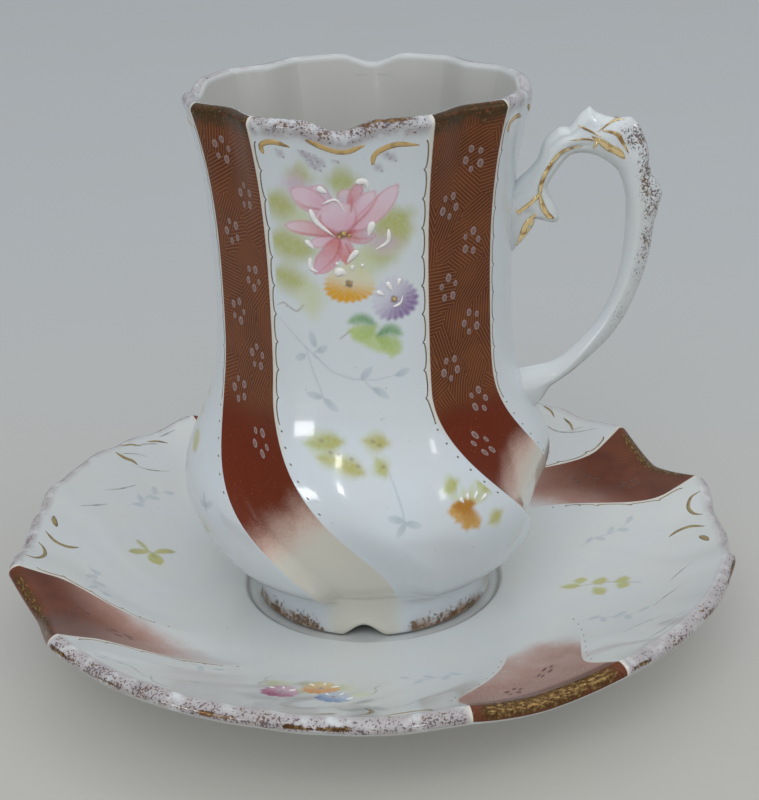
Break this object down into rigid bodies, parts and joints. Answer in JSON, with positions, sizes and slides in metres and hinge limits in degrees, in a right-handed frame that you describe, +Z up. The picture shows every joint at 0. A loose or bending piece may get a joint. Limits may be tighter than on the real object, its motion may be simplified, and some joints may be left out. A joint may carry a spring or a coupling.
{
  "type": "chocolate cup and saucer",
  "caption": "Tall waisted porcelain chocolate cup with a swirled belly, panelled neck and scroll handle, standing loose in the well of a scalloped saucer.",
  "frame": {"origin": "on the table, under the middle of the saucer", "axes": "+Z up the cup's axis, +X from the axis towards the cup's handle"},
  "size_m": [0.1196, 0.1196, 0.0902],
  "materials": {
    "saucer_porcelain": "glossy white glaze, hand painted, chestnut bands, gilt rim",
    "cup_porcelain": "glossy white glaze, hand painted, chestnut bands, gilt lines",
    "handle_porcelain": "glossy white glaze with rubbed gilding"
  },
  "bodies": {
    "saucer": {"saucer": "saucer_porcelain"},
    "cup": {"cup_body": "cup_porcelain", "cup_handle": "handle_porcelain"}
  },
  "joints": [
    {"name": "cup_lift", "type": "slide", "parent": "saucer", "child": "cup", "axis": [0, 0, 1], "range_m": [0, 0.06]}
  ]
}
